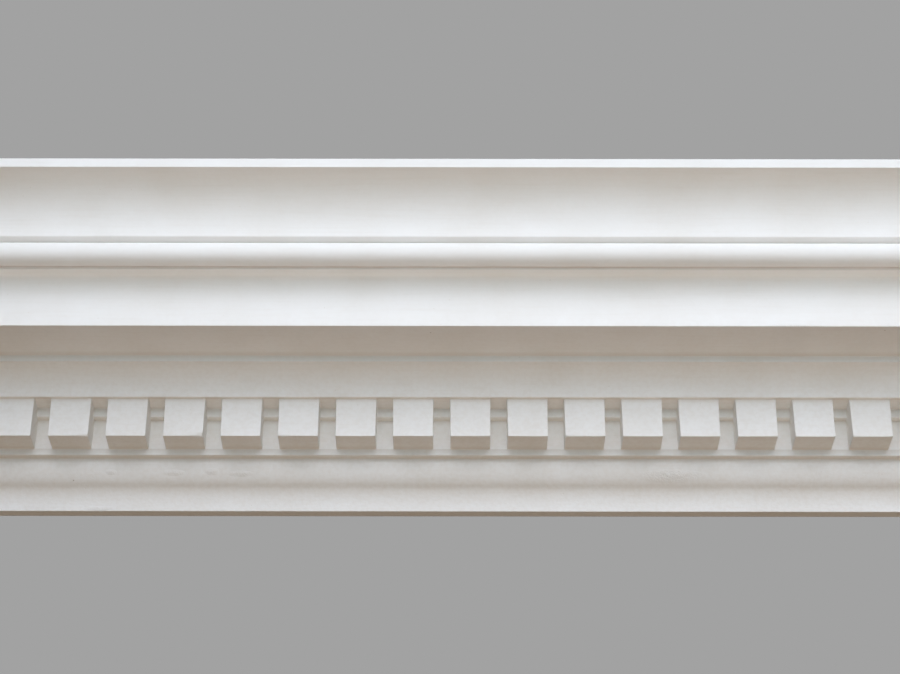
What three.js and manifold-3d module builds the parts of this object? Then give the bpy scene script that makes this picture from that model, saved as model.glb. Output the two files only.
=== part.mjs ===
// A straight length of dentil cornice, cast in white plaster as one piece.
//
// The cornice covers the corner between a wall and a ceiling. Its section is drawn here in two directions:
// how far a point stands out from the wall (projection), and how high it is above the bottom edge (height).
// The section runs the whole length, and a row of square teeth (dentils) hangs under the bed mould.
// The ends are cut square in the middle of a gap, so that lengths butt together and the row of teeth runs on.
//
// Millimetres. X runs along the length, the wall is the plane y = 0, the room is towards -Y, and +Z is up.
// The origin is the middle of the flat face that bears on the wall.
import * as THREE from 'three';
import { mergeVertices } from 'three/addons/utils/BufferGeometryUtils.js';
import Module from 'manifold-3d';

// The row of dentils
const dentilCount = 18;
const dentilPitch = 30;
const dentilWidthTop = 21.3;
const dentilWidthBottom = 20.9;
const dentilHeight = 22;
const dentilDepth = 15;

// Heights of the members, from the bottom edge up
const bottomFilletHeight = 2.3;
const cymaHeight = 23.3;
const fasciaHeight = 3.6;
const bedCoveHeight = 13.7;
const bedFilletHeight = 3.7;
const coronaHeight = 16;
const congeHeight = 11.5;
const splayHeight = 1.7;
const cymatiumFilletHeight = 1.8;
const cavettoHeight = 24.5;
const topFilletHeight = 5.4;

// How far each member steps out, from the wall outwards
const bottomFilletProjection = 6.3;
const cymaProjection = 10.8;
const fasciaStep = 3.9;
const bedOverhang = 2.1;
const bedCoveProjection = 13.5;
const coronaSoffit = 30.8;
const congeProjection = 4.5;
const neckSoffit = 6;
const splayProjection = 4.3;
const cavettoProjection = 18.5;
const topSoffit = 6;

// The cyma's hollow takes this share of it, and each of its two curves turns through this many degrees
const cymaHollowShare = 0.44;
const cymaTurn = 70;

// The round bead under the cavetto, and the narrow quirk that parts it from the corona
const beadRadius = 6.1;
const quirkDepth = 2;
const beadCrownGap = 0.5;

// The small bar that joins the dentils at the head of each gap
const barHeight = 5;
const barProjection = 4;

// The back: flat faces that bear on the wall and the ceiling, and a hollow between them
const wallBearingHeight = 30;
const shellThickness = 12;

// How finely the curves are cut, and how far a tooth runs into the body that it is cast on
const arcSteps = 12;
const beadSteps = 20;
const toothRoot = 3;

const length = dentilCount * dentilPitch;

// Levels of the section, worked out from the members
const cymaTop = bottomFilletHeight + cymaHeight;
const dentilFoot = cymaTop + fasciaHeight;
const dentilHead = dentilFoot + dentilHeight;
const bedCoveTop = dentilHead + bedCoveHeight;
const coronaFoot = bedCoveTop + bedFilletHeight;
const congeFoot = coronaFoot + coronaHeight;
const neckLevel = congeFoot + congeHeight;
const beadLevel = neckLevel + beadRadius;
const splayLevel = beadLevel + beadRadius + beadCrownGap;
const splayTop = splayLevel + splayHeight;
const cavettoFoot = splayTop + cymatiumFilletHeight;
const cavettoTop = cavettoFoot + cavettoHeight;
const ceiling = cavettoTop + topFilletHeight;

// Projections of the section, worked out from the members
const cymaFace = bottomFilletProjection + cymaProjection;
const fasciaFace = cymaFace + fasciaStep;
const barFace = fasciaFace + barProjection;
const dentilFace = fasciaFace + dentilDepth;
const bedFace = dentilFace + bedOverhang;
const bedFilletFace = bedFace + bedCoveProjection;
const coronaFace = bedFilletFace + coronaSoffit;
const neckFace = coronaFace + congeProjection;
const quirkFace = neckFace + neckSoffit;
// The bead springs from the quirk, so its centre follows from the quirk's depth.
const beadCentre = quirkFace + Math.sqrt(beadRadius ** 2 - (beadRadius - quirkDepth) ** 2);
const cymatiumFace = beadCentre + splayProjection;
const cavettoHeadFace = cymatiumFace + cavettoProjection;
const topFace = cavettoHeadFace + topSoffit;

const point = (projection, height) => new THREE.Vector2(projection, height);

// An arc of an ellipse about a centre, without its first point, which the outline already has.
function arc(centre, radiusOut, radiusUp, startDegrees, endDegrees, steps = arcSteps) {
  const start = THREE.MathUtils.degToRad(startDegrees);
  const end = THREE.MathUtils.degToRad(endDegrees);
  const curve = new THREE.EllipseCurve(centre.x, centre.y, radiusOut, radiusUp, start, end, end < start);
  return curve.getPoints(steps).slice(1);
}

// A hollow quarter that rises from a vertical tangent and turns outwards to a level one.
function hollow(face, foot, out, up) {
  return arc(point(face + out, foot), out, up, 180, 90);
}

// The cyma reversa: a hollow below that turns into a round above. Both start upright and meet with one slope.
function cymaReversa() {
  const turn = THREE.MathUtils.degToRad(cymaTurn);
  const outPerShare = cymaProjection / (1 - Math.cos(turn));
  const upPerShare = cymaHeight / Math.sin(turn);
  const hollowOut = cymaHollowShare * outPerShare;
  const roundOut = (1 - cymaHollowShare) * outPerShare;
  const hollowCentre = point(bottomFilletProjection + hollowOut, bottomFilletHeight);
  const roundCentre = point(cymaFace - roundOut, cymaTop);
  return [
    ...arc(hollowCentre, hollowOut, cymaHollowShare * upPerShare, 180, 180 - cymaTurn),
    ...arc(roundCentre, roundOut, (1 - cymaHollowShare) * upPerShare, 360 - cymaTurn, 360),
  ];
}

// The bead: a round that starts in the quirk, behind and below its centre, and ends at its crown.
function bead() {
  const spring = THREE.MathUtils.radToDeg(Math.asin((beadRadius - quirkDepth) / beadRadius));
  return [
    point(quirkFace, neckLevel),
    point(quirkFace, neckLevel + quirkDepth),
    ...arc(point(beadCentre, beadLevel), beadRadius, beadRadius, 180 + spring, 450, beadSteps),
  ];
}

// The visible face from the bottom edge up to the ceiling, as it runs between the dentils.
function frontOutline() {
  return [
    point(0, 0),
    point(bottomFilletProjection, 0),
    point(bottomFilletProjection, bottomFilletHeight),
    ...cymaReversa(),
    point(fasciaFace, cymaTop),
    point(fasciaFace, dentilHead - barHeight),
    point(barFace, dentilHead - barHeight),
    point(barFace, dentilHead),
    point(bedFace, dentilHead),
    ...hollow(bedFace, dentilHead, bedCoveProjection, bedCoveHeight),
    point(bedFilletFace, coronaFoot),
    point(coronaFace, coronaFoot),
    point(coronaFace, congeFoot),
    ...hollow(coronaFace, congeFoot, congeProjection, congeHeight),
    ...bead(),
    point(beadCentre, splayLevel),
    point(cymatiumFace, splayTop),
    point(cymatiumFace, cavettoFoot),
    ...hollow(cymatiumFace, cavettoFoot, cavettoProjection, cavettoHeight),
    point(topFace, cavettoTop),
    point(topFace, ceiling),
  ];
}

// A point of the back, one shell thickness behind a re-entrant corner of the face, towards the room's corner.
function behind(projection, height) {
  const step = shellThickness * Math.SQRT1_2;
  return point(Math.max(projection - step, 0), Math.min(height + step, ceiling));
}

// The back, from the ceiling down to the wall. It follows the re-entrant corners of the face.
function backOutline() {
  const cavettoWaist = point(
    cavettoHeadFace - cavettoProjection * Math.SQRT1_2,
    cavettoFoot + cavettoHeight * Math.SQRT1_2,
  );
  const head = behind(cavettoWaist.x, cavettoWaist.y);
  return [
    point(head.x, ceiling),
    head,
    behind(quirkFace, neckLevel + quirkDepth),
    behind(bedFilletFace, coronaFoot),
    behind(fasciaFace, dentilHead - barHeight),
    point(0, wallBearingHeight),
  ];
}

// The library that joins closed meshes
const wasm = await Module();
wasm.setup();

// A closed three.js geometry as a solid that can be joined.
function toSolid(geometry) {
  const bare = geometry.clone();
  bare.deleteAttribute('normal');
  bare.deleteAttribute('uv');
  const merged = mergeVertices(bare);
  const vertProperties = new Float32Array(merged.attributes.position.array);
  const triVerts = new Uint32Array(merged.index.array);
  return new wasm.Manifold(new wasm.Mesh({ numProp: 3, vertProperties, triVerts }));
}

// A joined solid as a three.js geometry. Each face keeps its own normals, so that the arrises stay crisp.
function toGeometry(solid) {
  const mesh = solid.getMesh();
  const shared = new THREE.BufferGeometry();
  shared.setAttribute('position', new THREE.BufferAttribute(mesh.vertProperties, 3));
  shared.setIndex(new THREE.BufferAttribute(mesh.triVerts, 1));
  const geometry = shared.toNonIndexed();
  geometry.computeVertexNormals();
  return geometry;
}

// An outline of projection and height, run along the whole length.
function runMoulding(outline) {
  const geometry = new THREE.ExtrudeGeometry(new THREE.Shape(outline), { depth: length, bevelEnabled: false });
  return toSolid(geometry);
}

// Half the width of a dentil at a height. Its sides draw in slightly towards the foot.
function dentilHalfWidth(height) {
  const slope = (dentilWidthTop - dentilWidthBottom) / dentilHeight;
  return (dentilWidthBottom + slope * (height - dentilFoot)) / 2;
}

// One dentil, with its middle at a place along the length. Its root runs into the fascia and the bed mould.
function dentil(along) {
  const rootTop = dentilHead + toothRoot;
  const headHalf = dentilHalfWidth(rootTop);
  const footHalf = dentilHalfWidth(dentilFoot);
  const front = new THREE.Shape([
    point(along - footHalf, dentilFoot),
    point(along + footHalf, dentilFoot),
    point(along + headHalf, rootTop),
    point(along - headHalf, rootTop),
  ]);
  const geometry = new THREE.ExtrudeGeometry(front, { depth: dentilDepth + toothRoot, bevelEnabled: false });
  // The front was drawn across the length and pushed forwards: turn it so that it faces out from the wall.
  geometry.rotateY(-Math.PI / 2);
  geometry.translate(dentilFace, 0, 0);
  return toSolid(geometry);
}

// The whole casting: the run section with every dentil joined to it.
function casting() {
  let body = runMoulding([...frontOutline(), ...backOutline()]);
  for (let i = 0; i < dentilCount; i += 1) {
    body = body.add(dentil((i + 0.5) * dentilPitch));
  }
  return toGeometry(body);
}

const plaster = new THREE.MeshStandardMaterial({ color: 0xf1f1ee, roughness: 0.85, metalness: 0 });

// The section is drawn as x = projection, y = height and z = along, and then stood in the room.
const cornice = new THREE.Mesh(casting(), plaster);
cornice.name = 'cornice_moulding';
const standing = new THREE.Matrix4().makeBasis(
  new THREE.Vector3(0, -1, 0),
  new THREE.Vector3(0, 0, 1),
  new THREE.Vector3(-1, 0, 0),
);
cornice.quaternion.setFromRotationMatrix(standing);
cornice.position.set(length / 2, 0, -wallBearingHeight / 2);

const model = new THREE.Group();
model.add(cornice);

export default model;
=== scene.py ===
"""A straight length of plaster dentil cornice, dressed over its CAD solid.

The cornice is one casting, so the scene has one piece. Its surface is a section carried along the length: the
section between the dentils and the section through a dentil have the same points, and each dentil is where
the first turns into the second. The surface then gets what casting and handling leave: softened arrises,
a slight waviness, chipped corners and a rough struck-off back.

Sizes are in millimetres in the classes and metres in the meshes. X runs along the length, the wall is the
plane Y = 0 with the room towards -Y, and Z is up. A section point is (projection from the wall, height above
the bottom edge).
"""

import logging
import math
from dataclasses import dataclass, field
from enum import Enum
from typing import Any

import bpy
import numpy as np
from mathutils import Euler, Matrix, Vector


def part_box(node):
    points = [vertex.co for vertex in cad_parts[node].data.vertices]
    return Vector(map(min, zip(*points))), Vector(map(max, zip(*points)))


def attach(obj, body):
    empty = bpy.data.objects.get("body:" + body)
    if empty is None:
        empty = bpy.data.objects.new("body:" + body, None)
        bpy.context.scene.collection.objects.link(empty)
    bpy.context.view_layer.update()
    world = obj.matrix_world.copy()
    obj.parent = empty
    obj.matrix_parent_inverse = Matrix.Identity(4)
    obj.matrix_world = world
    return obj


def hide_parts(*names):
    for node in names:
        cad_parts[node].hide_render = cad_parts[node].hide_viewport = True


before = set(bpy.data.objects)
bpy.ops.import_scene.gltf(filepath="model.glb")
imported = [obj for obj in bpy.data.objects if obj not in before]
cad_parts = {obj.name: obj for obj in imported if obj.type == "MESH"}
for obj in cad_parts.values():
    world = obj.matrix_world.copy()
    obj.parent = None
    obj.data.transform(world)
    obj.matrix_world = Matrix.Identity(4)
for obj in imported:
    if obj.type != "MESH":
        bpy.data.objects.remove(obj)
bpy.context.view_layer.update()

LOG = logging.getLogger("cornice")
MM = 0.001
NODE = "cornice_moulding"

# The sockets of a Mix node that mixes colours
MIX_SHARE, MIX_UNDER, MIX_OVER, MIX_RESULT = 0, 6, 7, 2

Pair = tuple[float, float]
Triple = tuple[float, float, float]


def linear(hex_colour: str) -> tuple[float, float, float, float]:
    """Turns an sRGB hex colour into linear light.

    Args:
        hex_colour: Six hex digits after a hash sign, such as "#f2f1ee".

    Returns:
        Red, green, blue and alpha, as Blender's sockets take them.
    """
    parts = [int(hex_colour[i : i + 2], 16) / 255 for i in (1, 3, 5)]
    curved = [c / 12.92 if c <= 0.04045 else ((c + 0.055) / 1.055) ** 2.4 for c in parts]
    return (curved[0], curved[1], curved[2], 1.0)


def lattice_noise(points: np.ndarray, cell: Triple, seed: int) -> np.ndarray:
    """Smooth random values: a random number at each corner of a lattice, eased between the corners.

    Across a cell, where t runs from 0 to 1, the weight of the far corner is t squared times 3 - 2t.

    Args:
        points: Places as rows of three, in millimetres.
        cell: Size of a lattice cell along X, Y and Z, in millimetres.
        seed: Picks the random numbers.

    Returns:
        One value from -1 to 1 for each point.
    """
    side = 64
    table = np.random.default_rng(seed).uniform(-1, 1, (side, side, side))
    place = points / np.array(cell)
    low = np.floor(place).astype(int)
    part = place - low
    part = part * part * (3 - 2 * part)
    total = np.zeros(len(points))
    for step in np.ndindex(2, 2, 2):
        corner = (low + step) % side
        weight = np.prod(np.where(np.array(step) == 1, part, 1 - part), axis=1)
        total += weight * table[corner[:, 0], corner[:, 1], corner[:, 2]]
    return total


@dataclass
class Nodes:
    """The nodes of a material or of the surroundings.

    Attributes:
        tree: The node tree that holds them.
    """

    tree: bpy.types.NodeTree

    @classmethod
    def of(cls, owner: bpy.types.ID) -> "Nodes":
        """Starts with no nodes at all.

        Args:
            owner: The material or world.

        Returns:
            Its nodes.
        """
        owner.use_nodes = True
        owner.node_tree.nodes.clear()
        return cls(owner.node_tree)

    def add(self, kind: str, links: dict[Any, Any], **settings: Any) -> bpy.types.Node:
        """Adds a node with its settings and links.

        Args:
            kind: The node's type, without its "ShaderNode" prefix.
            links: What goes into each input: a socket, a node for its first output, or a value.
            **settings: The node's own settings.

        Returns:
            The node.
        """
        node = self.tree.nodes.new("ShaderNode" + kind)
        for name, value in settings.items():
            setattr(node, name, value)
        for socket, value in links.items():
            source = value.outputs[0] if isinstance(value, bpy.types.Node) else value
            if isinstance(source, bpy.types.NodeSocket):
                self.tree.links.new(source, node.inputs[socket])
            else:
                node.inputs[socket].default_value = source
        return node


class Turn(Enum):
    """What the outline does at a corner, which says how casting softens it."""

    ARRIS = "arris"
    CREASE = "crease"
    CURVE = "curve"


@dataclass
class Outline:
    """A closed outline of the section, walked by the distance along it.

    Attributes:
        points: Corners as rows of (projection, height), in millimetres.
        turns: What each corner is.
        arris_radius: How far an outward corner is rounded off, measured along its sides.
        crease_radius: The same for an inward corner.
        side_radii: A side is at least as long as this many of the roundings at its ends.
        supports: Where a rounded corner needs points, in radii before and after it.
        back_start: Which corner is the first of the back.
        back_fade: How far the back's mark takes to reach 1, in millimetres.
    """

    points: list[Pair] = field(default_factory=list)
    turns: list[Turn] = field(default_factory=list)
    arris_radius: float = 0.45
    crease_radius: float = 0.35
    side_radii: float = 3.0
    supports: tuple[float, ...] = (-2.2, -1.0, 0.0, 1.0, 2.2)
    back_start: int = 0
    back_fade: float = 4.0

    def corner(self, turn: Turn, projection: float, height: float) -> None:
        """Adds one corner."""
        self.points.append((projection, height))
        self.turns.append(turn)

    def curve(self, centre: Pair, radii: Pair, sweep: Pair, steps: int, last: Turn = Turn.CURVE) -> None:
        """Adds an arc of an ellipse, its points at equal angles, without its first point.

        Args:
            centre: The ellipse's centre.
            radii: Its half axes outwards and upwards.
            sweep: The angles where it starts and ends, in degrees from straight outwards.
            steps: How many points.
            last: What the outline does at the last point.
        """
        angle = np.radians(np.linspace(*sweep, steps + 1)[1:])
        for along, up in zip(np.cos(angle), np.sin(angle)):
            self.corner(Turn.CURVE, centre[0] + radii[0] * along, centre[1] + radii[1] * up)
        self.turns[-1] = last

    def hollow(self, foot: Pair, size: Pair, steps: int, last: Turn = Turn.CURVE) -> Pair:
        """Adds a hollow quarter of an ellipse that rises upright from its foot and turns level outwards.

        Args:
            foot: Where it starts, which the outline already has.
            size: How far it goes outwards and upwards.
            steps: How many points.
            last: What the outline does at its head.

        Returns:
            Its head.
        """
        self.curve((foot[0] + size[0], foot[1]), size, (180, 90), steps, last)
        return foot[0] + size[0], foot[1] + size[1]

    def ring(self) -> np.ndarray:
        """The corners as rows, with the first one again at the end."""
        return np.array(self.points + self.points[:1])

    def places(self) -> np.ndarray:
        """The distance along the outline at each corner, and at last the whole way round."""
        return np.concatenate([[0], np.cumsum(np.hypot(*np.diff(self.ring(), axis=0).T))])

    def radii(self) -> np.ndarray:
        """Works out the rounding of every corner, which its shorter side can hold down.

        Returns:
            One radius for each corner, 0 on a curve.
        """
        table = {Turn.ARRIS: self.arris_radius, Turn.CREASE: self.crease_radius, Turn.CURVE: 0.0}
        wanted = np.array([table[turn] for turn in self.turns])
        side = np.diff(self.places())
        return np.minimum(wanted, np.minimum(np.roll(side, 1), side) / self.side_radii)

    def keys(self, spacing: float) -> np.ndarray:
        """Distances at which the surface needs a point.

        Args:
            spacing: The longest gap left between two of them, in millimetres.

        Returns:
            The distances, unsorted. Each rounded corner gets its ends, its middle and a support beyond it.
        """
        places, radii = self.places(), self.radii()
        corners = (places[:-1, None] + np.outer(radii, self.supports))[radii > 0].ravel()
        curves = places[:-1][radii == 0]
        steps = np.maximum(1, np.ceil(np.diff(places) / spacing)).astype(int)
        runs = [np.linspace(a, b, n + 1)[1:-1] for a, b, n in zip(places, places[1:], steps)]
        return np.concatenate([corners, curves, *runs]) % places[-1]

    def beyond(self, distance: np.ndarray, corner: Any) -> np.ndarray:
        """How far each place lies beyond a corner along the outline, the shorter way round.

        Args:
            distance: The places, as distances along the outline.
            corner: The corner or corners, as distances too.

        Returns:
            The gaps, negative before the corner.
        """
        whole = self.places()[-1]
        return (distance - corner + whole / 2) % whole - whole / 2

    def sharp(self, distance: np.ndarray) -> np.ndarray:
        """Places on the outline as it is before its corners are rounded.

        Args:
            distance: Distances along the outline.

        Returns:
            Rows of (projection, height).
        """
        places, ring = self.places(), self.ring()
        return np.stack([np.interp(distance % places[-1], places, ring[:, axis]) for axis in (0, 1)], axis=-1)

    def at(self, distance: np.ndarray) -> np.ndarray:
        """Places on the outline, each corner eased by a parabola from one end of its rounding to the other.

        With t from 0 to 1 across the rounding, the place is the sum of the point before it times (1 - t)
        squared, the corner times 2t(1 - t) and the point after it times t squared.

        Args:
            distance: Distances along the outline.

        Returns:
            Rows of (projection, height).
        """
        result = self.sharp(distance)
        for place, radius, point in zip(self.places(), self.radii(), self.points):
            if radius == 0:
                continue
            gap = self.beyond(distance, place)
            near = np.abs(gap) < radius
            part = ((gap[near] + radius) / (2 * radius))[:, None]
            before, after = self.sharp(np.array([place - radius, place + radius]))
            eased = (1 - part) ** 2 * before + 2 * part * (1 - part) * np.array(point)
            result[near] = eased + part**2 * after
        return result

    def distance_to(self, turn: Turn, distance: np.ndarray) -> np.ndarray:
        """How far each place is, along the outline, from the nearest corner of a kind.

        Args:
            turn: The kind of corner.
            distance: The places, as distances along the outline.

        Returns:
            The distance from each, in millimetres.
        """
        corners = self.places()[:-1][[found is turn for found in self.turns]]
        return np.abs(self.beyond(distance[:, None], corners)).min(axis=1)

    def behind(self, distance: np.ndarray) -> np.ndarray:
        """The back's mark: 1 on the hollow back between the two bearings, fading to 0 beside each.

        Args:
            distance: Distances along the outline.

        Returns:
            The mark at each.
        """
        places = self.places()
        first, last = places[self.back_start], places[len(self.points) - 1]
        fade = self.back_fade
        return np.clip((distance - first) / fade, 0, 1) * np.clip((last - distance) / fade, 0, 1)


@dataclass
class Section:
    """The members of the cornice from the bottom edge up, as the CAD has them. All in millimetres.

    A pair says how far a member steps out and how high it is.

    Attributes:
        bottom_fillet: The thin upright edge at the foot.
        cyma: The cyma reversa, a hollow that turns into a round above it.
        cyma_hollow_share: The hollow's share of the cyma.
        cyma_turn: How far each of the cyma's two curves turns, in degrees.
        fascia: The step out over the cyma, and its height up to the dentils.
        dentil: A dentil, from the fascia behind it.
        bar: The small bar at the head of each gap, from the fascia behind it.
        bed_overhang: How far the bed mould's soffit reaches out past the dentils.
        bed_cove: The hollow over the dentils.
        bed_fillet: The height of the upright over that hollow.
        corona: The corona's soffit and its upright face.
        conge: The hollow at the head of the corona's face.
        neck_soffit: How far the level neck reaches out over that hollow.
        bead_radius: The radius of the round bead.
        quirk_depth: The height of the narrow groove that parts the bead from the neck.
        crown_gap: How high the splay starts above the bead's crown.
        splay: The slope over the bead.
        cymatium_fillet: The height of the upright over the splay.
        cavetto: The large hollow under the ceiling.
        top: The top fillet's soffit and its height.
        wall_bearing: How high the flat part of the back bears on the wall.
        shell: How thick the casting is.
        cyma_steps: How many points each of the cyma's two curves has.
        cove_steps: How many points the bed cove has.
        conge_steps: How many points the hollow over the corona has.
        bead_steps: How many points the bead has.
        cavetto_steps: How many points the cavetto has.
    """

    bottom_fillet: Pair = (6.3, 2.3)
    cyma: Pair = (10.8, 23.3)
    cyma_hollow_share: float = 0.44
    cyma_turn: float = 70.0
    fascia: Pair = (3.9, 3.6)
    dentil: Pair = (15.0, 22.0)
    bar: Pair = (4.0, 5.0)
    bed_overhang: float = 2.1
    bed_cove: Pair = (13.5, 13.7)
    bed_fillet: float = 3.7
    corona: Pair = (30.8, 16.0)
    conge: Pair = (4.5, 11.5)
    neck_soffit: float = 6.0
    bead_radius: float = 6.1
    quirk_depth: float = 2.0
    crown_gap: float = 0.5
    splay: Pair = (4.3, 1.7)
    cymatium_fillet: float = 1.8
    cavetto: Pair = (18.5, 24.5)
    top: Pair = (6.0, 5.4)
    wall_bearing: float = 30.0
    shell: float = 12.0
    cyma_steps: int = 12
    cove_steps: int = 11
    conge_steps: int = 10
    bead_steps: int = 18
    cavetto_steps: int = 16

    @property
    def fascia_face(self) -> float:
        """How far the fascia behind the dentils stands out."""
        return self.bottom_fillet[0] + self.cyma[0] + self.fascia[0]

    @property
    def dentil_face(self) -> float:
        """How far the front of the dentils stands out."""
        return self.fascia_face + self.dentil[0]

    @property
    def dentil_foot(self) -> float:
        """The height of the dentils' undersides."""
        return self.bottom_fillet[1] + self.cyma[1] + self.fascia[1]

    @property
    def dentil_head(self) -> float:
        """The height of the soffit that the dentils hang from."""
        return self.dentil_foot + self.dentil[1]

    @property
    def bar_foot(self) -> float:
        """The height of the bar's underside."""
        return self.dentil_head - self.bar[1]

    @property
    def corona_root(self) -> Pair:
        """The inward corner where the bed fillet meets the corona's soffit."""
        face = self.dentil_face + self.bed_overhang + self.bed_cove[0]
        return face, self.dentil_head + self.bed_cove[1] + self.bed_fillet

    @property
    def quirk_foot(self) -> Pair:
        """The outward corner where the neck turns up into the quirk."""
        face, level = self.corona_root
        face = face + self.corona[0] + self.conge[0] + self.neck_soffit
        return face, level + self.corona[1] + self.conge[1]

    def outline(self, through_dentil: bool) -> Outline:
        """The closed section, walked up the face from the wall and down the back.

        Both sections are equally long, since a dentil's underside and front are as long together as the wall,
        bar and soffit that they replace. So a place on one has its twin on the other at the same distance.

        Args:
            through_dentil: Whether the section is through a dentil or between two.

        Returns:
            The outline.
        """
        line = Outline()
        self.cyma_band(line)
        self.dentil_band(line, through_dentil)
        self.corona_band(line)
        splay_foot = self.bead_band(line)
        cavetto_head = self.cavetto_band(line, splay_foot)
        self.back(line, cavetto_head)
        return line

    def cyma_band(self, line: Outline) -> None:
        """Adds the bottom edge, the cyma and the fascia's foot.

        Each of the cyma's curves is an arc of an ellipse that starts upright and turns through one angle. Its
        half axes are its reach outwards over 1 less the angle's cosine, and its reach upwards over the sine.

        Args:
            line: The outline.
        """
        face, level = self.bottom_fillet
        line.corner(Turn.ARRIS, 0, 0)
        line.corner(Turn.ARRIS, face, 0)
        line.corner(Turn.CURVE, face, level)
        turn, share = math.radians(self.cyma_turn), self.cyma_hollow_share
        whole = (self.cyma[0] / (1 - math.cos(turn)), self.cyma[1] / math.sin(turn))
        hollow = (share * whole[0], share * whole[1])
        swell = ((1 - share) * whole[0], (1 - share) * whole[1])
        line.curve((face + hollow[0], level), hollow, (180, 180 - self.cyma_turn), self.cyma_steps)
        face, level = face + self.cyma[0], level + self.cyma[1]
        sweep = (360 - self.cyma_turn, 360)
        line.curve((face - swell[0], level), swell, sweep, self.cyma_steps, Turn.CREASE)
        line.corner(Turn.ARRIS, self.fascia_face, level)

    def dentil_band(self, line: Outline, through_dentil: bool) -> None:
        """Adds a dentil, or the wall and the bar that stand between two.

        Args:
            line: The outline.
            through_dentil: Which of the two.
        """
        if through_dentil:
            foot, face = self.dentil_foot, self.dentil_face
        else:
            foot, face = self.bar_foot, self.fascia_face + self.bar[0]
        line.corner(Turn.CREASE, self.fascia_face, foot)
        line.corner(Turn.ARRIS, face, foot)
        line.corner(Turn.CREASE, face, self.dentil_head)

    def corona_band(self, line: Outline) -> None:
        """Adds the bed mould and the corona, up to the head of its hollow.

        Args:
            line: The outline.
        """
        foot = (self.dentil_face + self.bed_overhang, self.dentil_head)
        line.corner(Turn.ARRIS, *foot)
        line.hollow(foot, self.bed_cove, self.cove_steps, Turn.ARRIS)
        face, level = self.corona_root
        line.corner(Turn.CREASE, face, level)
        face += self.corona[0]
        line.corner(Turn.ARRIS, face, level)
        level += self.corona[1]
        line.corner(Turn.CURVE, face, level)
        line.hollow((face, level), self.conge, self.conge_steps)

    def bead_band(self, line: Outline) -> Pair:
        """Adds the neck, the quirk and the bead, a round that springs from the quirk and ends at its crown.

        The bead's centre lies in front of the quirk by the square root of its radius squared less the square
        of its height over the spring.

        Args:
            line: The outline.

        Returns:
            The foot of the splay.
        """
        face, level = self.quirk_foot
        line.corner(Turn.ARRIS, face, level)
        line.corner(Turn.CREASE, face, level + self.quirk_depth)
        rise = self.bead_radius - self.quirk_depth
        face += math.sqrt(self.bead_radius**2 - rise**2)
        sweep = (180 + math.degrees(math.asin(rise / self.bead_radius)), 450)
        radii = (self.bead_radius, self.bead_radius)
        line.curve((face, level + self.bead_radius), radii, sweep, self.bead_steps)
        level += 2 * self.bead_radius + self.crown_gap
        line.corner(Turn.CREASE, face, level)
        return face, level

    def cavetto_band(self, line: Outline, splay_foot: Pair) -> Pair:
        """Adds the splay, the fillet over it and the cavetto.

        Args:
            line: The outline.
            splay_foot: The foot of the splay.

        Returns:
            The head of the cavetto.
        """
        face, level = splay_foot[0] + self.splay[0], splay_foot[1] + self.splay[1]
        line.corner(Turn.ARRIS, face, level)
        level += self.cymatium_fillet
        line.corner(Turn.CURVE, face, level)
        return line.hollow((face, level), self.cavetto, self.cavetto_steps)

    def back(self, line: Outline, cavetto_head: Pair) -> None:
        """Adds the top fillet and the back, one shell thickness behind the inward corners of the face.

        Args:
            line: The outline.
            cavetto_head: The head of the cavetto.
        """
        face, level = cavetto_head[0] + self.top[0], cavetto_head[1]
        ceiling = level + self.top[1]
        line.corner(Turn.ARRIS, face, level)
        line.corner(Turn.ARRIS, face, ceiling)
        diagonal = math.sqrt(0.5)
        step = self.shell * diagonal
        waist = (
            cavetto_head[0] - self.cavetto[0] * diagonal,
            cavetto_head[1] - self.cavetto[1] * (1 - diagonal),
        )
        quirk = (self.quirk_foot[0], self.quirk_foot[1] + self.quirk_depth)
        line.back_start = len(line.points)
        line.corner(Turn.ARRIS, waist[0] - step, ceiling)
        for projection, height in (waist, quirk, self.corona_root, (self.fascia_face, self.bar_foot)):
            line.corner(Turn.CURVE, projection - step, height + step)
        line.corner(Turn.ARRIS, 0, self.wall_bearing)


@dataclass
class DentilRow:
    """The row of dentils. All in millimetres.

    Attributes:
        count: How many there are.
        pitch: How far apart their middles are.
        width_foot: A dentil's width at its underside.
        width_head: Its width where it hangs from the bed mould.
        arris: How far its upright outward corners are rounded off.
        crease: The same for the inward corners beside it.
        inner_share: Each rounding has one more station, this share of it from its corner.
        across: The shares of the way across a side at which it has a station.
        front: The shares of half its width, either side of its middle, at which its front has a station.
    """

    count: int = 18
    pitch: float = 30.0
    width_foot: float = 20.9
    width_head: float = 21.3
    arris: float = 0.45
    crease: float = 0.35
    inner_share: float = 0.25
    across: Pair = (0.33, 0.67)
    front: Pair = (-1 / 3, 1 / 3)

    def centres(self) -> np.ndarray:
        """The middle of each dentil along the length."""
        return (np.arange(self.count) - (self.count - 1) / 2) * self.pitch

    def half_width(self, above_foot: np.ndarray, dentil_height: float) -> np.ndarray:
        """Half a dentil's width, which grows evenly from its foot to its head.

        Args:
            above_foot: Heights above its underside.
            dentil_height: Its whole height.

        Returns:
            Half its width at each height.
        """
        slope = (self.width_head - self.width_foot) / dentil_height
        return (self.width_foot + slope * above_foot) / 2

    def side(self) -> tuple[np.ndarray, np.ndarray, np.ndarray]:
        """The stations across one side of a dentil, from the gap onto its front.

        Returns:
            For each station: how far it lies beyond the side, onto the dentil; how far its section has moved
            on from the share, towards the dentil's, both in millimetres; and that share, which is 0 for the
            gap's section and 1 for the dentil's.
        """
        crease, arris = self.crease, self.arris
        near_crease, near_arris = self.inner_share * crease, self.inner_share * arris
        beyond = np.array([-crease, -near_crease, 0, 0, 0, 0, near_arris, arris])
        reach = np.array([0, near_crease, crease, 0, 0, -arris, -near_arris, 0])
        share = np.array([0, 0, 0, *self.across, 1, 1, 1])
        return beyond, reach, share


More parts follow.
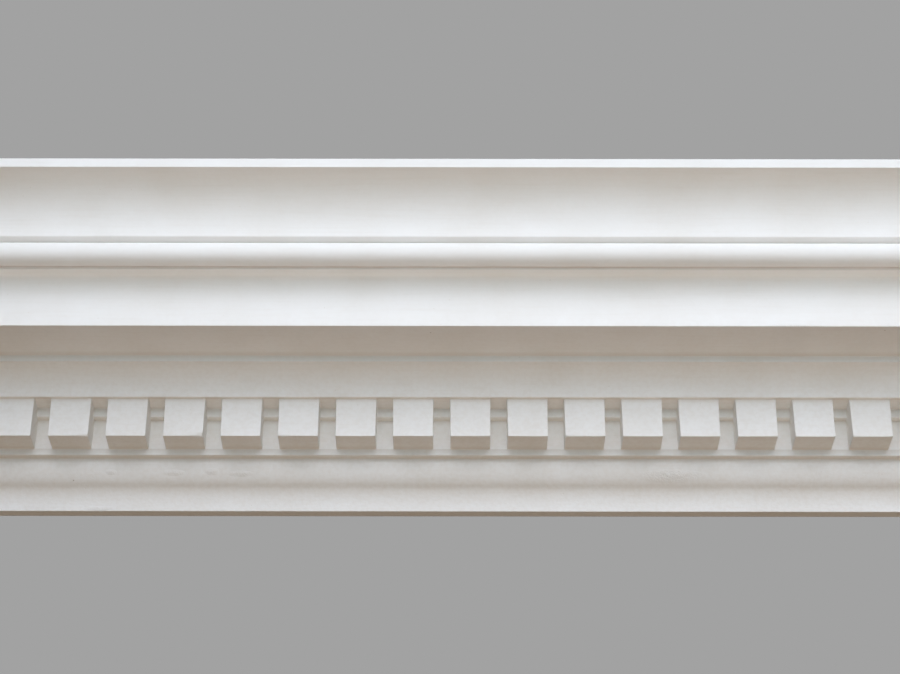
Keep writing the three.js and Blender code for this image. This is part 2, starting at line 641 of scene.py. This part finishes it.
@dataclass
class TwinSections:
    """The section between two dentils and the one through a dentil, with points at the same distances.

    Attributes:
        gap: The outline between two dentils.
        tooth: The outline through a dentil.
        walk: The distances along both at which the surface has a point, in millimetres.
        full_step: How far apart twins are where a dentil's side counts as a full step, in millimetres.
    """

    gap: Outline
    tooth: Outline
    walk: np.ndarray
    full_step: float = 0.8

    @classmethod
    def of(cls, section: Section, spacing: float, finest: float) -> "TwinSections":
        """Draws both outlines and picks the distances.

        Args:
            section: The members.
            spacing: The longest step between two distances, in millimetres.
            finest: The shortest, in millimetres.

        Returns:
            The sections.
        """
        gap = section.outline(through_dentil=False)
        tooth = section.outline(through_dentil=True)
        keys = np.sort(np.concatenate([gap.keys(spacing), tooth.keys(spacing)]))
        whole = gap.places()[-1]
        kept = [keys[0]]
        for key in keys[1:]:
            if min(key - kept[-1], keys[0] + whole - key) > finest:
                kept.append(key)
        return cls(gap, tooth, np.array(kept))

    def points(self) -> tuple[np.ndarray, np.ndarray]:
        """The points between dentils and their twins through one, as rows of (projection, height)."""
        return self.gap.at(self.walk), self.tooth.at(self.walk)

    def span(self) -> np.ndarray:
        """How far each point is from its twin.

        Returns:
            The distances, in millimetres.
        """
        low, high = self.points()
        return np.hypot(*(high - low).T)

    def settled(self) -> np.ndarray:
        """1 where twins are a full step apart or more, falling evenly to 0 where they are one point."""
        return np.clip(self.span() / self.full_step, 0, 1)


@dataclass(frozen=True)
class Unevenness:
    """Broad and finer noise added together, which only takes plaster away.

    Attributes:
        depth: The depth for each unit of the noise, in millimetres.
        broad: The size of the broad noise's cells along the length, outwards and upwards, in millimetres.
        fine: The same for the finer noise.
        seed: Picks the broad noise, and the next number picks the finer.
        fine_share: How strong the finer noise is beside the broad.
    """

    depth: float
    broad: Triple
    fine: Triple
    seed: int
    fine_share: float = 0.4

    def sunk(self, points: np.ndarray) -> np.ndarray:
        """How far the surface lies back: the sum of both noises, less its highest value, times the depth.

        Args:
            points: Rows of X, projection and height, in millimetres.

        Returns:
            Millimetres along the normal, none above 0.
        """
        both = lattice_noise(points, self.broad, self.seed)
        both = both + self.fine_share * lattice_noise(points, self.fine, self.seed + 1)
        return self.depth * (both - (1 + self.fine_share))


@dataclass(frozen=True)
class Chip:
    """A lower front corner of a dentil, knocked off by a flat break.

    Attributes:
        dentil: Which dentil, counted from 0 at the left.
        end: 1 for its right corner and -1 for its left.
        depth: How far the break lies below the corner, in millimetres.
        outwards: How far the break faces outwards for one along the length.
        downwards: How far it faces downwards for one along the length.
        reach: How far the break can reach from the corner, in depths.
        reach_more: A length added to that reach, in millimetres.
        grain_share: How deep its grain is, as a share of its depth.
        grain_mm: How large the grain is.
        seed: Picks the grain.
    """

    dentil: int
    end: int
    depth: float
    outwards: float = 0.9
    downwards: float = 0.8
    reach: float = 4.0
    reach_more: float = 1.0
    grain_share: float = 0.12
    grain_mm: float = 0.8
    seed: int = 5

    def cut(self, points: np.ndarray, section: Section, row: DentilRow) -> np.ndarray:
        """Moves every point that the break took away straight down onto it, with a slight grain.

        Args:
            points: Rows of X, projection and height, in millimetres.
            section: The cornice's members.
            row: Its dentils.

        Returns:
            The points.
        """
        along = row.centres()[self.dentil] + self.end * (row.width_foot / 2)
        corner = np.array((along, section.dentil_face, section.dentil_foot))
        facing = (self.end, self.outwards, -self.downwards)
        normal = np.array(facing) / np.linalg.norm(facing)
        above = (points - corner) @ normal + self.depth
        near = np.linalg.norm(points - corner, axis=1) < self.reach * self.depth + self.reach_more
        noise = lattice_noise(points, (self.grain_mm, self.grain_mm, self.grain_mm), self.seed)
        drop = np.where((above > 0) & near, above - self.grain_share * self.depth * noise, 0)
        return points - np.clip(drop, 0, None)[:, None] * normal


# One plain break low on the left, and slight ones elsewhere
CHIPS = (
    Chip(dentil=4, end=1, depth=1.5),
    Chip(dentil=6, end=-1, depth=0.7),
    Chip(dentil=9, end=1, depth=0.6),
    Chip(dentil=11, end=-1, depth=0.8),
    Chip(dentil=14, end=1, depth=0.7),
    Chip(dentil=2, end=1, depth=0.9),
    Chip(dentil=16, end=-1, depth=0.6),
)


@dataclass(frozen=True)
class Handling:
    """What casting, carrying and cutting leave on the surface.

    Attributes:
        face: The face's waviness, drawn out along the length, as a mould's is.
        back: The back's, where the plaster was brushed into the mould by hand.
        end_fade: How far from a cut end the surface takes to be fully uneven, in millimetres.
        bearing_fade: The same from the wall and from the ceiling.
    """

    face: Unevenness = Unevenness(depth=0.035, broad=(140, 14, 14), fine=(40, 7, 7), seed=11)
    back: Unevenness = Unevenness(depth=0.6, broad=(24, 11, 11), fine=(13, 8, 8), seed=13)
    end_fade: float = 2.0
    bearing_fade: float = 4.0

    def apply(self, points: np.ndarray, normal: np.ndarray, behind: np.ndarray) -> np.ndarray:
        """Moves the points along their normals. The cut ends and the bearings stay flat.

        Args:
            points: Rows of X, projection and height, in millimetres.
            normal: The surface's direction at each.
            behind: 1 on the hollow back and 0 elsewhere.

        Returns:
            The moved points.
        """
        from_end = points[:, 0].max() - np.abs(points[:, 0])
        from_ceiling = points[:, 2].max() - points[:, 2]
        free = np.clip(from_end / self.end_fade, 0, 1)
        free *= np.clip(points[:, 1] / self.bearing_fade, 0, 1)
        free *= np.clip(from_ceiling / self.bearing_fade, 0, 1)
        sunk = self.face.sunk(points) * (1 - behind) + self.back.sunk(points) * behind
        return points + normal * (sunk * free)[:, None]


@dataclass(frozen=True)
class Scuff:
    """A place on the face that is scraped or pitted. All in millimetres.

    Attributes:
        along: Where its middle is along the length.
        height: Where its middle is above the bottom edge.
        reach: Half its length and half its height.
        core: The share of the way out to its rim over which it is at its strongest.
    """

    along: float
    height: float
    reach: Pair
    core: float = 0.2

    def mask(self, nodes: Nodes, place: bpy.types.NodeSocket) -> bpy.types.Node:
        """Makes a mask that is 1 in the middle of the scuff and fades to 0 at its rim.

        The scuff is an ellipse seen from the front: the place's steps along and up from its middle, each over
        the scuff's reach that way, give a length that is 1 at the rim.

        Args:
            nodes: The material's nodes.
            place: The object's own coordinates.

        Returns:
            The mask.
        """
        middle = (self.along * MM, 0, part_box(NODE)[0][2] + self.height * MM)
        scale = (1 / (self.reach[0] * MM), 0, 1 / (self.reach[1] * MM))
        away = nodes.add("VectorMath", {0: place, 1: middle}, operation="SUBTRACT")
        away = nodes.add("VectorMath", {0: away, 1: scale}, operation="MULTIPLY")
        rim = nodes.add("VectorMath", {0: away}, operation="LENGTH").outputs["Value"]
        links = {"Value": rim, "From Min": self.core, "From Max": 1.0, "To Min": 1.0, "To Max": 0.0}
        return nodes.add("MapRange", links)


# Scrapes on the cyma, and one each on a bar between dentils, the bottom edge and the corona's lower arris
SCUFFS = (
    Scuff(along=-174, height=18.2, reach=(3.0, 1.4)),
    Scuff(along=-141, height=18.0, reach=(6.0, 1.6)),
    Scuff(along=-121, height=18.6, reach=(4.0, 1.8)),
    Scuff(along=-106, height=17.6, reach=(7.0, 1.5)),
    Scuff(along=-152, height=46.4, reach=(2.4, 1.6)),
    Scuff(along=121, height=16.8, reach=(19.0, 3.2)),
    Scuff(along=-180, height=1.6, reach=(9.0, 1.4)),
    Scuff(along=181, height=69.4, reach=(16.0, 1.5)),
)


@dataclass(frozen=True)
class SoftNoise:
    """Soft noise with values about 0.5.

    Attributes:
        size_mm: The size of its largest forms.
        detail: How many finer layers it has.
        shown: The values at which it starts to show as colour and shows in full.
    """

    size_mm: float
    detail: float
    shown: Pair = (0.0, 1.0)


@dataclass(frozen=True)
class Spots:
    """Scattered round spots.

    Attributes:
        spacing_mm: How far apart the places are where a spot may be.
        fade: Where a spot starts to fade and where it ends, as shares of the spacing.
        rarity: The share of those places without a spot.
    """

    spacing_mm: float
    fade: Pair
    rarity: float

    def mask(self, nodes: Nodes, place: bpy.types.NodeSocket) -> bpy.types.Node:
        """Makes a mask that is 1 in a spot and 0 outside.

        Args:
            nodes: The material's nodes.
            place: The object's own coordinates.

        Returns:
            The mask.
        """
        cells = nodes.add("TexVoronoi", {"Vector": place, "Scale": 1 / (self.spacing_mm * MM)}).outputs
        links = {"Value": cells["Distance"], "From Min": self.fade[0], "From Max": self.fade[1]}
        spot = nodes.add("MapRange", {**links, "To Min": 1.0, "To Max": 0.0})
        chance = nodes.add("SeparateColor", {"Color": cells["Color"]})
        chosen = nodes.add("Math", {0: chance, 1: self.rarity}, operation="GREATER_THAN")
        return nodes.add("Math", {0: spot, 1: chosen}, operation="MULTIPLY")


@dataclass(frozen=True)
class Tints:
    """How much of its own colour each pattern lays over the plaster, as a share."""

    mottle: float = 0.35
    streak: float = 0.2
    nick: float = 0.3
    # The crease share is how strongly inward corners take painted shade, with some dust.
    crease: float = 0.42
    scrape: float = 0.12
    pinhole: float = 0.3
    speck: float = 0.6


@dataclass(frozen=True)
class Heights:
    """How high each pattern stands in the bump.

    Attributes:
        strength: The bump's strength.
        depth_mm: The depth of one unit of height.
        face_grain: The grain's height on the face.
        back_grain: What the back adds to it.
        streak: The height of the mould's streaks.
        nick: The height of the soft unevenness on the lower members.
        pinhole: The depth of a pinhole, below 0.
        edge: How much higher that unevenness is on an arris.
        crease_part: How much of that a crease gets.
        scrape: How much higher the grain is in a scuff.
    """

    strength: float = 0.35
    depth_mm: float = 0.12
    face_grain: float = 0.3
    back_grain: float = 2.5
    streak: float = 0.2
    nick: float = 2.4
    pinhole: float = -1.6
    edge: float = 1.3
    crease_part: float = 0.25
    scrape: float = 16.0


@dataclass(frozen=True)
class CastPlaster:
    """Cast gypsum plaster, unpainted.

    It is a dead matt white with a faint warmth. The mould leaves fine streaks along the length and a few
    pinholes, and the back, brushed in by hand, is coarser and creamier. The real grain is too fine to show in
    the render, so the grain is drawn about as coarse as a pixel of it.

    Attributes:
        face: The clean face's colour.
        shade: The colour that the mottling, the streaks and the unevenness tend to.
        crease: The colour laid in creases as painted shade with some dust, and in scuffs and pinholes.
        speck: The colour of specks of dirt.
        back: The back's colour.
        roughness: How matt it is.
        specular: How strongly it reflects, where 0.5 is the usual.
        mottle: The broad mottling.
        streak: The mould's streaks.
        streak_draw: The streaks' width over their length.
        grain: The grain, which shows in the bump alone.
        nick: The soft unevenness.
        smooth_mm: The heights in the frame between which the plaster turns smoother.
        smooth_share: How much of its unevenness it keeps above them.
        bearing_mm: How deep the wall bearing is kept free of scuffs.
        pinholes: Where the air bubbles are.
        specks: Where the dirt is.
        tints: How strongly the patterns show as colour.
        heights: How strongly they show in the bump.
    """

    face: str = "#f7f6f3"
    shade: str = "#ece8e1"
    crease: str = "#d4cabd"
    speck: str = "#a89a86"
    back: str = "#e9e5dc"
    roughness: float = 0.86
    specular: float = 0.3
    mottle: SoftNoise = SoftNoise(size_mm=34.0, detail=4, shown=(0.35, 0.7))
    streak: SoftNoise = SoftNoise(size_mm=1.3, detail=3, shown=(0.5, 0.8))
    streak_draw: float = 0.04
    grain: SoftNoise = SoftNoise(size_mm=0.9, detail=5)
    nick: SoftNoise = SoftNoise(size_mm=2.2, detail=3, shown=(0.4, 0.65))
    smooth_mm: Pair = (38.0, 62.0)
    smooth_share: float = 0.25
    bearing_mm: float = 3.0
    pinholes: Spots = Spots(spacing_mm=4.0, fade=(0.04, 0.10), rarity=0.9)
    specks: Spots = Spots(spacing_mm=23.0, fade=(0.012, 0.02), rarity=0.55)
    tints: Tints = Tints()
    heights: Heights = Heights()

    def material(self) -> bpy.types.Material:
        """Builds the material. Its patterns lie in the object's own coordinates, in metres.

        Returns:
            The material.
        """
        material = bpy.data.materials.new("cast_gypsum_plaster")
        nodes = Nodes.of(material)
        found = self.patterns(nodes)
        links = {"Strength": self.heights.strength, "Distance": self.heights.depth_mm * MM}
        bump = nodes.add("Bump", {**links, "Height": self.height(nodes, found)})
        links = {"Roughness": self.roughness, "Specular IOR Level": self.specular, "Normal": bump}
        shader = nodes.add("BsdfPrincipled", {**links, "Base Color": self.colour(nodes, found)})
        nodes.add("OutputMaterial", {"Surface": shader})
        return material

    def patterns(self, nodes: Nodes) -> dict[str, Any]:
        """Makes the patterns that the colour and the bump share.

        Args:
            nodes: The material's nodes.

        Returns:
            Noise named mottle, streak, grain and nick; the mesh's marks named back, crease and arris; and
            masks named pinhole, speck, scraped and rubbed. The last is lower where the plaster is smoother.
        """
        place = nodes.add("TexCoord", {}).outputs["Object"]
        drawn = nodes.add("Mapping", {"Vector": place, "Scale": (self.streak_draw, 1, 1)})
        noises = {
            "mottle": (place, self.mottle),
            "streak": (drawn, self.streak),
            "grain": (place, self.grain),
            "nick": (place, self.nick),
        }
        found: dict[str, Any] = {}
        for name, (where, noise) in noises.items():
            links = {"Vector": where, "Scale": 1 / (noise.size_mm * MM), "Detail": noise.detail}
            found[name] = nodes.add("TexNoise", links)
        for name in ("back", "crease", "arris"):
            found[name] = nodes.add("Attribute", {}, attribute_name=name).outputs["Fac"]
        found["pinhole"] = self.pinholes.mask(nodes, place)
        found["speck"] = self.specks.mask(nodes, place)
        parts = nodes.add("SeparateXYZ", {"Vector": place}).outputs
        # The upper members came out of the mould smoother than the dentils and the cyma.
        low, high = self.smooth_mm
        links = {"Value": parts["Z"], "From Min": low * MM, "From Max": high * MM}
        found["rubbed"] = nodes.add("MapRange", {**links, "To Min": 1.0, "To Max": self.smooth_share})
        off_wall = nodes.add("Math", {0: parts["Y"], 1: -self.bearing_mm * MM}, operation="LESS_THAN")
        not_back = nodes.add("Math", {0: 1.0, 1: found["back"]}, operation="SUBTRACT")
        scraped = nodes.add("Math", {0: off_wall, 1: not_back}, operation="MULTIPLY")
        scuffed: Any = 0.0
        for scuff in SCUFFS:
            scuffed = nodes.add("Math", {0: scuff.mask(nodes, place), 1: scuffed}, operation="MAXIMUM")
        found["scraped"] = nodes.add("Math", {0: scuffed, 1: scraped}, operation="MULTIPLY")
        return found

    def colour(self, nodes: Nodes, found: dict[str, Any]) -> bpy.types.NodeSocket:
        """Lays the patterns' colours one over the other.

        Args:
            nodes: The material's nodes.
            found: The patterns.

        Returns:
            The colour.
        """
        tints = self.tints
        shown = {}
        for name, noise in (("mottle", self.mottle), ("streak", self.streak), ("nick", self.nick)):
            low, high = noise.shown
            shown[name] = nodes.add("MapRange", {"Value": found[name], "From Min": low, "From Max": high})
        nick_share = nodes.add("Math", {0: found["rubbed"], 1: tints.nick}, operation="MULTIPLY")
        worn = nodes.add("Math", {0: shown["streak"], 1: tints.streak}, operation="MULTIPLY")
        worn = nodes.add("Math", {0: shown["mottle"], 1: tints.mottle, 2: worn}, operation="MULTIPLY_ADD")
        worn = nodes.add("Math", {0: shown["nick"], 1: nick_share, 2: worn}, operation="MULTIPLY_ADD")
        layers = (
            (worn, 1.0, self.shade),
            (found["back"], 1.0, self.back),
            # Painted shade: the crease mark darkens inward corners and the recesses beside them, with some
            # dust.
            (found["crease"], tints.crease, self.crease),
            (found["scraped"], tints.scrape, self.crease),
            (found["pinhole"], tints.pinhole, self.crease),
            (found["speck"], tints.speck, self.speck),
        )
        colour: Any = linear(self.face)
        for mask, tint, over in layers:
            share = nodes.add("Math", {0: mask, 1: tint}, operation="MULTIPLY")
            links = {MIX_SHARE: share, MIX_UNDER: colour, MIX_OVER: linear(over)}
            colour = nodes.add("Mix", links, data_type="RGBA").outputs[MIX_RESULT]
        return colour

    def height(self, nodes: Nodes, found: dict[str, Any]) -> bpy.types.Node:
        """Adds the patterns' heights up for the bump.

        Args:
            nodes: The material's nodes.
            found: The patterns.

        Returns:
            The height, in units of the bump's depth.
        """
        heights = self.heights
        grain, nick = found["grain"], found["nick"]
        links = {0: found["back"], 1: heights.back_grain, 2: heights.face_grain}
        sand = nodes.add("Math", links, operation="MULTIPLY_ADD")
        uneven = nodes.add("Math", {0: found["rubbed"], 1: heights.nick}, operation="MULTIPLY")
        links = {0: found["crease"], 1: heights.crease_part, 2: found["arris"]}
        edges = nodes.add("Math", links, operation="MULTIPLY_ADD")
        layers = (
            (found["streak"], heights.streak),
            (nick, uneven),
            (found["pinhole"], heights.pinhole),
            (nodes.add("Math", {0: nick, 1: edges}, operation="MULTIPLY"), heights.edge),
            (nodes.add("Math", {0: grain, 1: found["scraped"]}, operation="MULTIPLY"), heights.scrape),
        )
        total = nodes.add("Math", {0: grain, 1: sand}, operation="MULTIPLY")
        for pattern, share in layers:
            total = nodes.add("Math", {0: pattern, 1: share, 2: total}, operation="MULTIPLY_ADD")
        return total


@dataclass
class CorniceMoulding:
    """The whole casting as one closed surface.

    Attributes:
        section: Its members.
        row: Its dentils.
        handling: What casting and carrying leave on it.
        finish: What it is made of.
        spacing: The longest step along the section, in millimetres.
        finest: The shortest, in millimetres.
        rounding_limit: The most of a dentil's side that a rounding takes up.
        clear: How far before and after a dentil's side its stations spread above and below the dentil, where
            they would otherwise meet, in millimetres.
        mark_reach: How far the marks of creases and arrises fade over, in millimetres.
        mark_lift: How far a mark on one section is from a place on the other, in millimetres.
        sharp_angle: Faces that meet at more than this keep a crisp edge, in degrees.
        bottom: The height of the bottom edge above the origin, in millimetres.
        length: The whole length, in millimetres.
    """

    section: Section = field(default_factory=Section)
    row: DentilRow = field(default_factory=DentilRow)
    handling: Handling = Handling()
    finish: CastPlaster = CastPlaster()
    spacing: float = 4.5
    finest: float = 0.14
    rounding_limit: float = 0.24
    clear: Pair = (-1.6, 1.9)
    mark_reach: tuple[tuple[Turn, float], ...] = ((Turn.CREASE, 1.7), (Turn.ARRIS, 0.9))
    mark_lift: float = 4.0
    sharp_angle: float = 48.0
    bottom: float = 0.0
    length: float = 0.0

    def __post_init__(self) -> None:
        """Takes the length and the bottom edge from the CAD's box."""
        low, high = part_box(NODE)
        self.bottom = low[2] / MM
        self.length = (high[0] - low[0]) / MM

    def stations(self, twins: TwinSections) -> tuple[np.ndarray, np.ndarray]:
        """Places the stations along the length.

        A station's section is the gap's moved a share of the way to the dentil's. The share is 0 between
        dentils and 1 over a dentil. On a dentil's side the stations stand at one place along the length, and
        the share runs from 0 to 1 with a rounding at each end.

        Args:
            twins: The two sections.

        Returns:
            For each station, one row: the place along the length and the share, at each section point.
        """
        low, high = twins.points()
        beyond, reach, share = (values[:, None] for values in self.row.side())
        no_step = 1e-6
        moved = reach / np.maximum(twins.span(), no_step)
        blend = share + np.clip(moved, -self.rounding_limit, self.rounding_limit)
        height = low[:, 1] + blend * (high - low)[:, 1]
        half = self.row.half_width(height - self.section.dentil_foot, self.section.dentil[1])
        spread = np.linspace(*self.clear, len(beyond))[:, None]
        settled = twins.settled()
        offset = settled * beyond + (1 - settled) * spread
        cut = np.zeros((1, len(twins.walk)))
        front = np.array(self.row.front)[:, None]
        rows = (cut - self.row.pitch / 2, offset - half, front * half[-1], (half - offset)[::-1])
        shares = np.vstack([cut, blend, np.ones((len(front), len(twins.walk))), blend[::-1]])
        along = (self.row.centres()[:, None, None] + np.vstack(rows)).reshape(-1, len(twins.walk))
        along = np.vstack([along, cut + self.length / 2])
        return along, np.vstack([np.tile(shares, (self.row.count, 1)), cut])

    def marks(self, twins: TwinSections, mix: np.ndarray) -> dict[str, np.ndarray]:
        """Works out what the finish reads at each grid point.

        The mark of a crease or an arris is e to the power of minus the square of its distance over the reach.

        Args:
            twins: The two sections.
            mix: The share of the dentil's section at each grid point.

        Returns:
            The marks by name: 1 at a corner of that kind, or on the hollow back, and 0 away from it.
        """
        lift = self.mark_lift * twins.settled()
        marks = {"back": np.broadcast_to(twins.gap.behind(twins.walk), mix.shape)}
        # The crease mark lays painted shade, with some dust, into the colour of inward corners.
        for turn, reach in self.mark_reach:
            between = twins.gap.distance_to(turn, twins.walk) + lift * mix
            over = twins.tooth.distance_to(turn, twins.walk) + lift * (1 - mix)
            marks[turn.value] = np.exp(-((np.minimum(between, over) / reach) ** 2))
        # The cut ends are fresh, so no mark reaches across them, the crease's painted shade included.
        inside = np.ones((len(mix), 1))
        inside[[0, -1]] = 0
        return {name: values * inside for name, values in marks.items()}

    def build(self) -> bpy.types.Object:
        """Makes the piece: a grid with a row for each station and a column for each section point.

        The grid is closed round the section, and each cut end has a flat cap.

        Returns:
            The finished object, at the origin.
        """
        twins = TwinSections.of(self.section, self.spacing, self.finest)
        low, high = twins.points()
        along, mix = self.stations(twins)
        grid = np.concatenate([along[..., None], low + mix[..., None] * (high - low)], axis=-1)
        marks = self.marks(twins, mix)
        points = grid.reshape(-1, 3)
        index = np.arange(len(points)).reshape(mix.shape)
        turned = np.roll(index, -1, axis=1)
        quads = np.stack([index[:-1], index[1:], turned[1:], turned[:-1]], axis=-1).reshape(-1, 4)
        ends = [index[0].tolist(), index[-1][::-1].tolist()]
        mesh = bpy.data.meshes.new("cornice_casting")
        mesh.from_pydata(self.to_frame(points).tolist(), [], quads.tolist() + ends)
        mesh.validate()
        mesh.update()
        points = self.handling.apply(points, self.normals(mesh), marks["back"].ravel())
        for chip in CHIPS:
            points = chip.cut(points, self.section, self.row)
        mesh.vertices.foreach_set("co", np.clip(self.to_frame(points), *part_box(NODE)).ravel())
        for name, values in marks.items():
            mark = mesh.attributes.new(name, "FLOAT", "POINT")
            mark.data.foreach_set("value", values.ravel().astype(np.float32))
        mesh.polygons.foreach_set("use_smooth", np.ones(len(mesh.polygons), dtype=bool))
        mesh.set_sharp_from_angle(angle=math.radians(self.sharp_angle))
        mesh.update()
        piece = bpy.data.objects.new("plaster_cornice", mesh)
        bpy.context.scene.collection.objects.link(piece)
        return piece

    def dress(self, piece: bpy.types.Object) -> None:
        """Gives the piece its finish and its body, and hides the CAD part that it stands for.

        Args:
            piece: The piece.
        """
        piece.data.materials.append(self.finish.material())
        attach(piece, "root")
        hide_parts(NODE)

    def to_frame(self, points: np.ndarray) -> np.ndarray:
        """Turns X, projection and height in millimetres into the frame's metres."""
        return np.stack([points[:, 0], -points[:, 1], points[:, 2] + self.bottom], axis=1) * MM

    @staticmethod
    def normals(mesh: bpy.types.Mesh) -> np.ndarray:
        """Reads the direction of the surface at each of the mesh's points.

        Args:
            mesh: The mesh.

        Returns:
            Rows of X, projection and height.
        """
        normal = np.zeros(len(mesh.vertices) * 3)
        mesh.vertices.foreach_get("normal", normal)
        return normal.reshape(-1, 3) * np.array([1, -1, 1])


@dataclass(frozen=True)
class SoftLight:
    """A soft light on an arc across the cornice, facing its middle.

    Attributes:
        name: What it does.
        elevation: Its angle above the level direction out into the room, in degrees.
        distance: How far it is from the cornice, in metres.
        shift: How far to the right it hangs, in metres.
        size: Its width along the cornice and its height, in metres.
        power: Its power in watts.
        colour: Its colour, as sRGB hex.
        spread: The angle that its light fans out over, in degrees.
        middle: Where the middle of the cornice is, in metres along Y and Z.
    """

    name: str
    elevation: float
    distance: float
    shift: float
    size: Pair
    power: float
    colour: str
    spread: float = 100.0
    middle: Pair = (-0.10, 0.075)

    def build(self) -> None:
        """Hangs the light."""
        data = bpy.data.lights.new(self.name, "AREA")
        data.shape = "RECTANGLE"
        data.size, data.size_y = self.size
        data.spread = math.radians(self.spread)
        data.energy = self.power
        data.color = linear(self.colour)[:3]
        angle = math.radians(self.elevation)
        arm = self.distance * Vector((0, -math.cos(angle), math.sin(angle)))
        light = bpy.data.objects.new(self.name, data)
        light.location = Vector((self.shift, *self.middle)) + arm
        light.rotation_euler = (-arm).to_track_quat("-Z", "Y").to_euler()
        light.visible_camera = False
        bpy.context.scene.collection.objects.link(light)


# A near window, what the room throws back from below it, and one light behind
LIGHTS = (
    SoftLight(
        "window", elevation=28, distance=0.47, shift=0.42, size=(1.75, 0.43),
        power=2.67, colour="#f4f6ff",
    ),
    SoftLight(
        "room_bounce", elevation=-15, distance=0.5, shift=0.42, size=(1.75, 0.07),
        power=0.37, colour="#a3f2ff",
    ),
    SoftLight(
        "sill_bounce", elevation=-40, distance=0.5, shift=0.42, size=(1.75, 0.07),
        power=0.47, colour="#ffe4ee",
    ),
    SoftLight(
        "floor_bounce", elevation=-74, distance=1.64, shift=0.4, size=(2.6, 1.2),
        power=3.15, colour="#ffe6bf",
    ),
    SoftLight(
        "rear_fill", elevation=145, distance=2.0, shift=0.0, size=(2.4, 1.6),
        power=30.0, colour="#f6f8ff", spread=180,
    ),
)


@dataclass
class Studio:
    """The camera, the lights and the pale floor.

    The camera looks up at the cornice from below, as the photograph does. The floor lies a room's height
    under it, so that it shows from above and doesn't hide the cornice from below.

    Attributes:
        camera_place: Where the camera is, in metres.
        look_up: How far it looks up from level, in degrees.
        yaw: How far it looks to the left, in degrees.
        roll: How far it leans, in degrees.
        lens: Its focal length, in millimetres.
        sensor: Its sensor's width, in millimetres.
        clip: The nearest and the farthest that it sees, in metres.
        background: The colour all round.
        ambient: How strongly the surroundings light the cornice, where 1 is as bright as they look.
        floor: The floor's colour.
        floor_roughness: How matt the floor is.
        floor_level: The floor's height, in metres.
        floor_half: Half the floor's side, in metres.
        wash_power: The power of the light on the floor, in watts.
        wash_size: That light's side, in metres.
        wash_height: How far it hangs over the floor, in metres.
    """

    camera_place: Triple = (0.0051, -1.05497, -0.51439)
    look_up: float = 30.0
    yaw: float = 0.0
    roll: float = -0.08
    lens: float = 88.0
    sensor: float = 36.0
    clip: Pair = (0.05, 50.0)
    background: str = "#a2a2a2"
    ambient: float = 0.06
    floor: str = "#dcdad6"
    floor_roughness: float = 0.9
    floor_level: float = -2.2
    floor_half: float = 14.0
    wash_power: float = 2400.0
    wash_size: float = 40.0
    wash_height: float = 1.2

    def build(self) -> None:
        """Sets everything up."""
        bpy.context.scene.view_settings.view_transform = "Standard"
        self.camera()
        for light in LIGHTS:
            light.build()
        self.floor_wash()
        self.surroundings()
        self.ground()

    def camera(self) -> None:
        """Stands the camera up."""
        data = bpy.data.cameras.new("camera")
        data.lens = self.lens
        data.sensor_width = self.sensor
        data.clip_start, data.clip_end = self.clip
        camera = bpy.data.objects.new("camera", data)
        camera.location = self.camera_place
        turn = [math.radians(angle) for angle in (90 + self.look_up, self.roll, self.yaw)]
        camera.rotation_euler = Euler(turn, "XYZ")
        bpy.context.scene.collection.objects.link(camera)
        bpy.context.scene.camera = camera

    def floor_wash(self) -> None:
        """Hangs a wide light that faces straight down, so that the floor looks pale from above."""
        data = bpy.data.lights.new("floor_wash", "AREA")
        data.size = self.wash_size
        data.energy = self.wash_power
        wash = bpy.data.objects.new("floor_wash", data)
        wash.location = (0, 0, self.floor_level + self.wash_height)
        wash.visible_camera = False
        bpy.context.scene.collection.objects.link(wash)

    def surroundings(self) -> None:
        """Puts an even grey all round, dimmer as light than it is to the eye."""
        world = bpy.data.worlds.new("surroundings")
        nodes = Nodes.of(world)
        grey = linear(self.background)
        seen = nodes.add("Background", {"Color": grey})
        lit = nodes.add("Background", {"Color": grey, "Strength": self.ambient})
        to_eye = nodes.add("LightPath", {}).outputs["Is Camera Ray"]
        mixed = nodes.add("MixShader", {0: to_eye, 1: lit, 2: seen})
        nodes.add("OutputWorld", {"Surface": mixed})
        bpy.context.scene.world = world

    def ground(self) -> None:
        """Lays the plain pale floor."""
        mesh = bpy.data.meshes.new("floor")
        half = self.floor_half
        corners = [(-half, -half), (half, -half), (half, half), (-half, half)]
        mesh.from_pydata([(x, y, self.floor_level) for x, y in corners], [], [(0, 1, 2, 3)])
        material = bpy.data.materials.new("pale_floor")
        nodes = Nodes.of(material)
        links = {"Base Color": linear(self.floor), "Roughness": self.floor_roughness}
        nodes.add("OutputMaterial", {"Surface": nodes.add("BsdfPrincipled", links)})
        mesh.materials.append(material)
        floor = bpy.data.objects.new("floor", mesh)
        # What the floor throws back up is one of the lights, so the floor itself adds nothing to it.
        floor.visible_diffuse = floor.visible_glossy = False
        bpy.context.scene.collection.objects.link(floor)


def main() -> None:
    """Builds the studio and the cornice."""
    logging.basicConfig(level=logging.INFO, format="%(name)s: %(message)s")
    Studio().build()
    cornice = CorniceMoulding()
    piece = cornice.build()
    cornice.dress(piece)
    LOG.info("%s: %d points, %d faces", piece.name, len(piece.data.vertices), len(piece.data.polygons))


if __name__ == "__main__":
    main()
